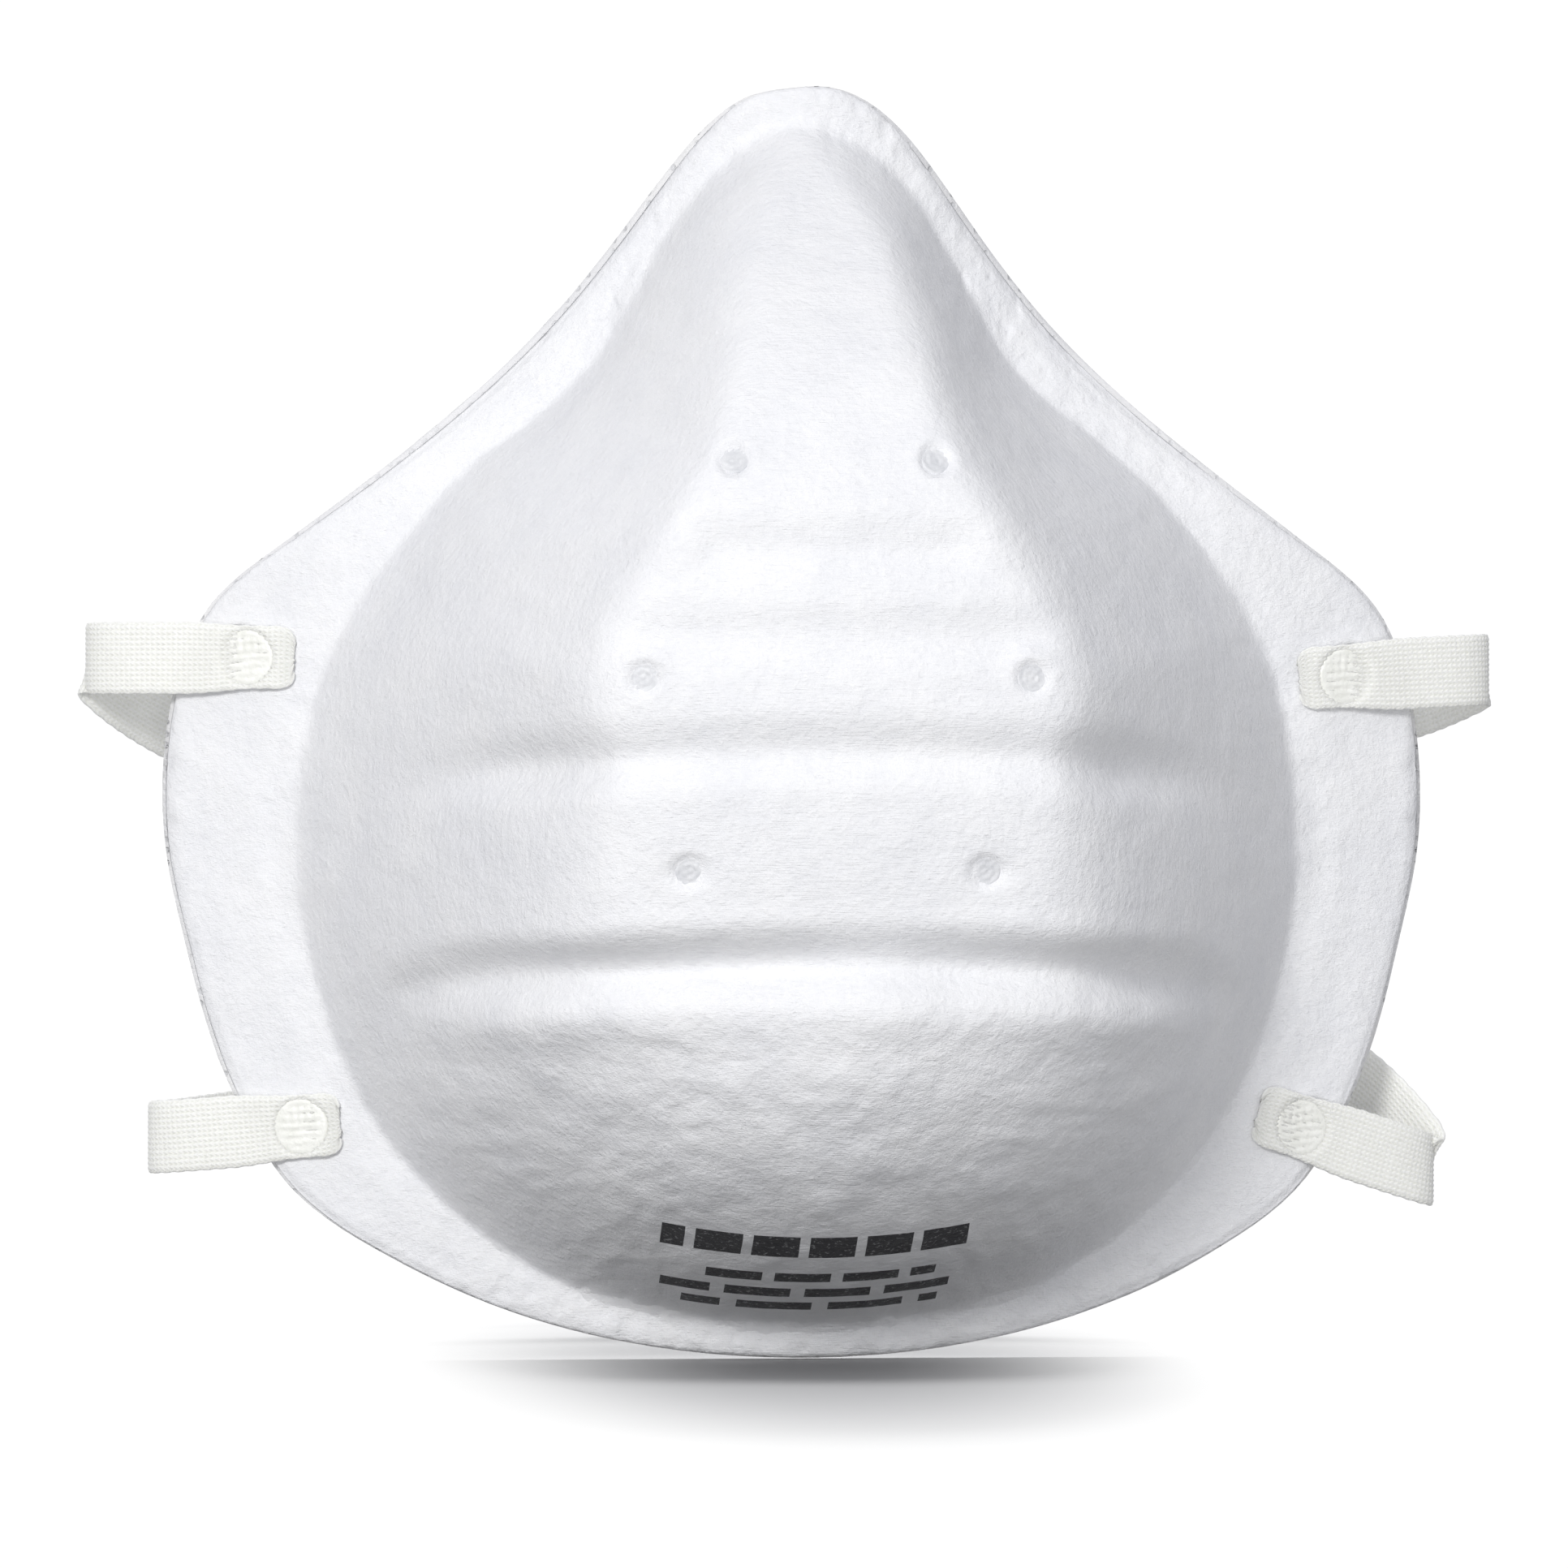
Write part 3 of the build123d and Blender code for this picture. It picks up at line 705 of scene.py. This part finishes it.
def shell_relief(x, z, room):
    """Height of the crumples, felt lumps, pressed edge and weld dishes, in metres."""
    chin = smooth_step(z, -26 * MM, -34 * MM) * smooth_step(np.hypot(x, z + 30 * MM), 52 * MM, 30 * MM)
    panel = smooth_step(np.abs(x), 27 * MM, 17 * MM) * smooth_step(z, -24 * MM, -18 * MM)
    flange = smooth_step(room, 15 * MM, 9 * MM)
    relief = 0.55 * MM * chin * (crumple(x, z * 1.5, 7.5 * MM, 11) - 0.35)
    relief += 0.26 * MM * chin * (crumple(x, z * 1.4, 2.8 * MM, 31) - 0.35)
    relief += 0.16 * MM * panel * (crumple(x, z, 6.0 * MM, 51) - 0.35)
    relief += 0.07 * MM * soft_noise(x, z, 3.1 * MM, 71)
    relief += 0.03 * MM * soft_noise(x, z, 1.2 * MM, 72)
    relief += 0.10 * MM * flange * soft_noise(x, z, 7.0 * MM, 73)
    nose = smooth_step(z, 34 * MM, 46 * MM) + smooth_step(z, -54 * MM, -62 * MM)
    dimples = smooth_step(soft_noise(x, z, 1.5 * MM, 74), 0.15, 0.7)
    relief -= 0.22 * MM * nose * smooth_step(room, 7 * MM, 4 * MM) * dimples
    relief -= 0.30 * MM * (1 - smooth_step(room, 0.0, EDGE_ROUNDING))
    for middle, _, radius in TACK_FACES:
        off = np.hypot(x - middle[0], z - middle[2])
        away = smooth_step(off, 0.75 * radius, 1.15 * radius)
        relief = relief * away - 0.55 * MM * (1 - away)
        relief += 0.10 * MM * np.exp(-(((off - 1.45 * radius) / (0.35 * radius)) ** 2))
    return relief


def seal_shift(room):
    """The flange's layers draw together towards the edge."""
    return SEAL_SHIFT * (1 - smooth_step(room, 0.5 * MM, SEAL_WIDTH))


def outer_shell():
    x, z, room = disc_places(FINE_NET)
    front = SHELL_FRONT.points(x, z, shell_relief(x, z, room))
    x, z, room = disc_places(COARSE_NET)
    back = SHELL_BACK.points(x, z)
    piece = layer_mesh("outer_shell_felt", NONWOVEN, front, FINE_NET, back, COARSE_NET, True)
    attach(piece, "root")
    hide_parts("outer_shell")
    return piece


def lining_relief(x, z, room):
    """The lining's own creases, seen from inside the cup."""
    cup = smooth_step(room, 8 * MM, 20 * MM)
    relief = 0.30 * MM * cup * (crumple(x, z * 1.2, 9.0 * MM, 91) - 0.35)
    relief += 0.10 * MM * soft_noise(x, z, 3.4 * MM, 95)
    groove = np.exp(-(((room - SEAL_WIDTH) / (0.7 * MM)) ** 2))
    return relief + 0.25 * MM * groove + seal_shift(room)


def inner_lining():
    x, z, room = disc_places(FINE_NET)
    back = LINING_BACK.points(x, z, lining_relief(x, z, room))
    x, z, room = disc_places(COARSE_NET)
    front = LINING_FRONT.points(x, z, seal_shift(room))
    piece = layer_mesh("inner_lining_fleece", LINING, back, FINE_NET, front, COARSE_NET, False)
    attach(piece, "root")
    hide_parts("inner_lining")
    return piece


WEB_NET = 96
WEB_INSET = 5.0 * MM


def inner_web(node):
    """A filter layer between shell and lining, which stops short of the sealed edge."""
    tree = node_tree(node)
    x, z, room = disc_places(WEB_NET, WEB_INSET)
    front = Surface(tree, -1).points(x, z)
    back = Surface(tree, 1).points(x, z)
    piece = layer_mesh(node + "_fleece", FLEECE, front, WEB_NET, back, WEB_NET, True)
    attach(piece, "root")
    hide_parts(node)
    return piece


# ================================ round welds =====================================================
def pressed_disc(node, material, relief, under, lift):
    """The fused plug of a weld: a patterned face in front, straight sides and a patterned back."""
    points = np.array([v.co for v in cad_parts[node].data.vertices])
    middle, outward, radius = weld_face(node)
    middle = middle + outward * ((under(node, middle, outward) - middle) @ outward + lift)
    length = middle @ outward - (points @ outward).min() + 0.15 * MM
    across = np.cross(outward, (0, 0, 1.0))
    across /= np.linalg.norm(across)
    up = np.cross(across, outward)
    rings, spokes = 14, 56
    vertices, faces = [], []
    for face_side in (0, 1):
        for ring in range(rings + 1):
            for spoke in range(spokes):
                share, angle = max(ring / rings, 0.001), 2 * pi * spoke / spokes
                u, v = share * cos(angle), share * sin(angle)
                rounded = 0.18 * MM * (1 - (1 - share**8) ** 0.5)
                level = relief(u, v) - rounded
                if face_side:
                    level = -length - 0.4 * relief(u, -v) + rounded
                vertices.append(middle + radius * (u * across + v * up) + outward * level)
    size = (rings + 1) * spokes
    for ring in range(rings):
        for spoke in range(spokes):
            a, b = ring * spokes + spoke, ring * spokes + (spoke + 1) % spokes
            quad = (a, a + spokes, b + spokes, b)
            faces.append(quad)
            faces.append(tuple(size + index for index in quad[::-1]))
    for spoke in range(spokes):
        a, b = rings * spokes + spoke, rings * spokes + (spoke + 1) % spokes
        faces.append((a, size + a, size + b, b))
    faces.append(tuple(range(spokes)))
    faces.append(tuple(size + spoke for spoke in range(spokes - 1, -1, -1)))
    piece = make_object(node + "_plug", vertices, faces, material)
    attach(piece, "root")
    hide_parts(node)
    return piece


def tack_relief(u, v):
    """A shallow bowl with fine rings of melted fibre."""
    distance = (u * u + v * v) ** 0.5
    return MM * (0.05 * distance**2 + 0.03 * cos(15 * distance) + 0.03 * sin(9 * u + 4 * v) * cos(8 * v))


def strap_relief(u, v):
    """The horn's print: a low rim round a field of fine bars, crossed in the upper half."""
    distance = (u * u + v * v) ** 0.5
    inside = 1 - smooth_number(distance, 0.74, 0.90)
    bars = 0.055 * cos(7.0 * pi * v + 0.8 * sin(3 * u))
    crossed = 0.045 * cos(7.0 * pi * u) * smooth_number(v, 0.05, 0.30)
    return MM * (inside * (bars + crossed) + 0.03 * (1 - inside))


def smooth_number(value, start, end):
    return float(smooth_step(np.float64(value), start, end))


# ================================ elastic headbands ===============================================
STRAP_WIDTH, STRAP_THICKNESS = 8.0 * MM, 0.9 * MM
SAMPLE_STEP = 0.42 * MM
SECTION_COUNT = 71             # points across each face of the strap
WELD_LIFT, END_LIFT = 0.60 * MM, 0.36 * MM    # middle of the elastic over the flange
PRESSED = 0.30 * MM
END_NARROWING = 0.13           # the welded end is drawn in by this share of its width
END_ROUNDING = 1.7 * MM        # radius of the cut end's corners
END_FRAY = 0.35 * MM           # how far the yarns stand out at the cut
END_FLATNESS = 0.35            # the cut end is pressed down to this share of the thickness
TACK_LIFT = -0.42 * MM         # a tack's face over the felt
PRINT_LIFT = STRAP_THICKNESS / 2 - PRESSED + 0.04 * MM    # a strap weld's face over the elastic's middle
# name: side, weld x, weld height in millimetres, slope of the outer end
CORNERS = {
    "upper_left": (-1, 60.9, 7.2, 0.0),
    "upper_right": (1, 60.9, 5.2, 0.052),
    "lower_left": (-1, 55.0, -44.6, -0.09),
    "lower_right": (1, 55.9, -45.0, -0.33),
}
# The slack loops behind the mask, from the viewer's left fold to the right one, in millimetres.
LOOPS = {
    "upper": [(-76.6, 22.6, 4.4), (-71.0, 28.6, 0.6), (-61.0, 37.8, -4.2), (-44.0, 47.8, -8.0),
              (-22.0, 54.6, -9.6), (0.0, 56.8, -9.0), (22.0, 55.4, -7.0), (44.0, 49.0, -3.8),
              (61.0, 39.0, -0.4), (71.4, 29.0, 2.2), (76.4, 22.4, 4.6)],
    "lower": [(-69.2, 20.0, -46.0), (-64.5, 26.5, -45.6), (-55.0, 35.4, -44.6), (-40.0, 44.4, -43.0),
              (-20.0, 50.8, -42.0), (0.0, 52.8, -41.4), (20.0, 51.0, -40.4), (40.0, 45.4, -38.8),
              (54.6, 37.0, -37.6), (63.6, 27.8, -39.0), (68.6, 20.6, -44.2)],
}


def flange_point(x, z, lift):
    return SHELL_FRONT.points(np.array([x]), np.array([z]), lift)[0]


def corner_route(name):
    """Control points of a strap from its inner end, over the weld, out to the fold."""
    side, weld_x, weld_z, slope = CORNERS[name]
    low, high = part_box(name + "_strap_end")
    inner, fold = sorted((abs(low[0]), abs(high[0])))
    weld_x, weld_z = weld_x * MM, weld_z * MM
    route = []
    for x, lift in ((inner, END_LIFT), ((inner + weld_x) / 2, WELD_LIFT * 1.1), (weld_x, WELD_LIFT),
                    (weld_x + 3.6 * MM, WELD_LIFT * 1.1)):
        route.append(flange_point(side * x, weld_z + slope * (x - weld_x), lift))
    last = route[-1]
    back = 0.37
    for x, extra in ((fold - 8.0 * MM, 0.0), (fold - 2.6 * MM, 0.2 * MM), (fold + 0.1 * MM, 1.5 * MM),
                     (fold + 0.4 * MM, 4.0 * MM)):
        ahead = x - abs(last[0])
        route.append(np.array([side * x, last[1] + back * ahead + extra, weld_z + slope * (x - weld_x)]))
    return route


def smooth_line(route):
    """Evenly spaced points along the NURBS spline of a route's control points."""
    curve = bpy.data.curves.new("route", "CURVE")
    curve.dimensions = "3D"
    spline = curve.splines.new("NURBS")
    spline.points.add(len(route) - 1)
    for point, place in zip(spline.points, route):
        point.co = (*place, 1.0)
    spline.order_u = 3
    spline.use_endpoint_u = True
    curve.resolution_u = 24
    holder = bpy.data.objects.new("route", curve)
    mesh = bpy.data.meshes.new_from_object(holder)
    line = np.array([v.co for v in mesh.vertices])
    bpy.data.objects.remove(holder)
    bpy.data.curves.remove(curve)
    bpy.data.meshes.remove(mesh)
    run = np.concatenate([[0.0], np.cumsum(np.linalg.norm(np.diff(line, axis=0), axis=1))])
    even = np.linspace(0.0, run[-1], int(run[-1] / SAMPLE_STEP) + 1)
    close = np.arange(0.05, 1.0, 0.06) * END_ROUNDING
    even = np.sort(np.concatenate([even, close, run[-1] - close]))
    return np.stack([np.interp(even, run, line[:, axis]) for axis in range(3)], axis=1), even


def strap_section():
    """Across and height of each point round the strap's section, which has raised ribs."""
    across = np.linspace(-0.5, 0.5, SECTION_COUNT) * STRAP_WIDTH
    ribs = RIB_HEIGHT * np.cos(2 * pi * RIB_COUNT * across / STRAP_WIDTH)
    edge = np.clip(1 - np.abs(2 * across / STRAP_WIDTH) ** 14, 0.0, 1.0) ** 0.5
    face = (STRAP_THICKNESS / 2 - RIB_HEIGHT + ribs) * (0.25 + 0.75 * edge)
    return np.concatenate([across, across[::-1]]), np.concatenate([face, -face[::-1]])


def strap_mesh(name, line, run, welds):
    """An elastic strap along a line, standing on edge, pressed flat at its welds."""
    tangent = np.gradient(line, axis=0)
    tangent /= np.linalg.norm(tangent, axis=1, keepdims=True)
    up = np.array([0.0, 0.0, 1.0]) - tangent * tangent[:, 2:3]
    up /= np.linalg.norm(up, axis=1, keepdims=True)
    out = np.cross(tangent, up)
    across, height = strap_section()
    scallop = 1 + 0.012 * np.sin(2 * pi * run / (1.7 * MM))[:, None]
    from_end = np.minimum(run, run[-1] - run)[:, None]
    scallop = scallop * (1 - END_NARROWING * (1 - smooth_step(from_end, 4 * MM, 13 * MM)))
    corner = np.clip(1 - from_end / END_ROUNDING, 0.0, 1.0)
    scallop = scallop - END_ROUNDING / (STRAP_WIDTH / 2) * (1 - np.sqrt(1 - corner**2))
    flutter = 0.05 * MM * soft_noise(run, run * 0 + 0.1, 6 * MM, 121)[:, None]
    shape = line[:, None] + up[:, None] * (across[None, :] * scallop)[..., None]
    frayed = END_FRAY * soft_noise(across[None, :] + 0 * run[:, None], run[:, None] * 0 + run[-1], 0.7 * MM, 131)
    frayed = frayed * (1 - smooth_step(from_end, 0.0, 2.0 * MM)) * np.where(run < run[-1] / 2, 1, -1)[:, None]
    shape += tangent[:, None] * frayed[..., None]
    flat = END_FLATNESS + (1 - END_FLATNESS) * smooth_step(from_end, 0.0, 3.0 * MM)
    thick = height[None, :] * flat + flutter
    for weld, outward, radius in welds:
        off = np.linalg.norm((shape - weld) - ((shape - weld) @ outward)[..., None] * outward, axis=-1)
        near = np.abs((shape - weld) @ outward) < 3 * MM
        pressed = (1 - smooth_step(off, 0.97 * radius, 1.12 * radius)) * near
        front = np.sign(height)[None, :] * np.sign((out @ outward)[:, None]) > 0
        thick -= pressed * front * PRESSED * np.sign((out @ outward))[:, None]
    shape = shape + out[:, None] * thick[..., None]
    rings, size = shape.shape[:2]
    faces = []
    for ring in range(rings - 1):
        for step in range(size):
            a, b = ring * size + step, ring * size + (step + 1) % size
            faces.append((a, a + size, b + size, b))
    faces.append(tuple(range(size)))
    faces.append(tuple((rings - 1) * size + step for step in range(size - 1, -1, -1)))
    piece = make_object(name, shape.reshape(-1, 3), faces, ELASTIC)
    places = np.stack(np.broadcast_arrays(across[None, :], run[:, None]), axis=-1).reshape(-1, 2)
    layer = piece.data.uv_layers.new(name="strap")
    corners = np.empty(len(piece.data.loops), dtype=int)
    piece.data.loops.foreach_get("vertex_index", corners)
    layer.data.foreach_set("uv", places[corners].astype(np.float32).ravel())
    return piece


def headband(band):
    """One continuous elastic: strap end, fold, loop, fold and strap end."""
    left, right = band + "_left", band + "_right"
    loop = [np.array(point) * MM for point in LOOPS[band]]
    route = corner_route(left) + loop + corner_route(right)[::-1]
    line, run = smooth_line(route)
    welds = [weld_face(name + "_strap_weld") for name in (left, right)]
    piece = strap_mesh(band + "_headband_elastic", line, run, welds)
    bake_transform(piece)
    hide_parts(left + "_strap_end", right + "_strap_end", band + "_headband")
    return piece


# ================================ nose foam =======================================================
FOAM_VOXEL = 0.7 * MM


def nose_foam():
    """The soft pad inside the nose, with rounded edges and a slightly lumpy skin."""
    source = bpy.data.objects.new("foam_source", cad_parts["nose_seal_foam"].data.copy())
    bpy.context.collection.objects.link(source)
    remesh = source.modifiers.new("remesh", "REMESH")
    remesh.mode = "VOXEL"
    remesh.voxel_size = FOAM_VOXEL
    rounding = source.modifiers.new("rounding", "SMOOTH")
    rounding.factor, rounding.iterations = 0.7, 8
    ready = source.evaluated_get(bpy.context.evaluated_depsgraph_get())
    mesh = bpy.data.meshes.new_from_object(ready)
    bpy.data.objects.remove(source)
    points = np.array([v.co for v in mesh.vertices])
    normals = np.array([v.normal for v in mesh.vertices])
    lumps = soft_noise(points[:, 0], points[:, 2] + points[:, 1], 3.0 * MM, 141)
    points += normals * (0.12 * MM * lumps[:, None] + 0.25 * MM)
    mesh.vertices.foreach_set("co", points.astype(np.float32).ravel())
    mesh.polygons.foreach_set("use_smooth", [True] * len(mesh.polygons))
    mesh.materials.clear()
    mesh.materials.append(FOAM)
    piece = bpy.data.objects.new("nose_foam_pad", mesh)
    bpy.context.collection.objects.link(piece)
    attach(piece, "root")
    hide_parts("nose_seal_foam")
    return piece


# ================================ studio ==========================================================
def floor():
    """A large plain floor, just under the chin."""
    level = CAD_BOX[0][2] - 0.3 * MM
    half = 4.0
    corners = [(-half, -half, level), (half, -half, level), (half, half, level), (-half, half, level)]
    piece = make_object("studio_floor", corners, [(0, 1, 2, 3)], pale_floor(), smooth=False)
    return piece


def soft_light(name, place, size, white, colour=(1, 1, 1)):
    """A round soft light that gives this share of pure white at the mask, square on."""
    lamp = bpy.data.lights.new(name, "AREA")
    lamp.shape, lamp.size, lamp.color = "DISK", size, colour
    lamp.energy = white * pi**2 * Vector(place).length_squared
    piece = bpy.data.objects.new(name, lamp)
    piece.location = place
    piece.rotation_euler = Vector(place).to_track_quat("Z", "Y").to_euler()
    bpy.context.collection.objects.link(piece)
    return piece


def light_only(lamp, piece, state):
    """Keeps a light on one piece (INCLUDE) or off it (EXCLUDE)."""
    group = bpy.data.collections.new(lamp.name + "_receivers")
    group.objects.link(piece)
    group.collection_objects[0].light_linking.link_state = state
    lamp.light_linking.receiver_collection = group
    if state == "EXCLUDE":
        lamp.light_linking.blocker_collection = group


SKY_LIGHT = (0.535, 0.540, 0.570)


def studio():
    ground = floor()
    key = soft_light("key_light", (-0.42, -1.15, 0.52), 0.36, 0.55, (1.0, 0.995, 0.985))
    fill = soft_light("fill_light", (1.05, -0.80, 0.10), 0.50, 0.03, (0.99, 0.99, 1.0))
    soft_light("top_light", (0.0, -0.05, 1.10), 0.35, 0.03)
    low = soft_light("low_light", (-0.05, -1.15, -0.30), 0.50, 0.155)
    back = soft_light("back_light", (-0.35, 1.20, 0.55), 0.60, 0.32)
    pool = soft_light("floor_light", (0.06, 0.62, 0.90), 0.30, 1.14)
    glow = soft_light("floor_glow", (0.0, -0.38, 1.00), 0.36, 0.72)
    for lamp in (low, back):
        light_only(lamp, ground, "EXCLUDE")
    light_only(key, ground, "EXCLUDE")
    light_only(fill, ground, "EXCLUDE")
    light_only(pool, ground, "INCLUDE")
    light_only(glow, ground, "INCLUDE")
    world = bpy.data.worlds.new("studio")
    bpy.context.scene.world = world
    world.use_nodes = True
    nodes, links = world.node_tree.nodes, world.node_tree.links
    sky = nodes["Background"]
    sky.inputs["Color"].default_value = (*SKY_LIGHT, 1)
    backdrop = nodes.new("ShaderNodeBackground")
    backdrop.inputs["Strength"].default_value = 1.05
    backdrop.inputs["Color"].default_value = (1, 1, 1, 1)
    seen = nodes.new("ShaderNodeLightPath")
    blend = nodes.new("ShaderNodeMixShader")
    links.new(seen.outputs["Is Camera Ray"], blend.inputs[0])
    links.new(sky.outputs[0], blend.inputs[1])
    links.new(backdrop.outputs[0], blend.inputs[2])
    links.new(blend.outputs[0], nodes["World Output"].inputs["Surface"])
    bpy.context.scene.view_settings.view_transform = "Standard"


# ================================ build ===========================================================
outer_shell()
inner_lining()
for web in ("prefilter_web", "filter_web"):
    inner_web(web)
for tack in TACKS:
    pressed_disc(tack, FUSED_FELT, tack_relief, felt_under, TACK_LIFT)
for weld in STRAP_WELDS:
    pressed_disc(weld, FUSED_ELASTIC, strap_relief, elastic_under, PRINT_LIFT)
for band in LOOPS:
    headband(band)
nose_foam()
studio()
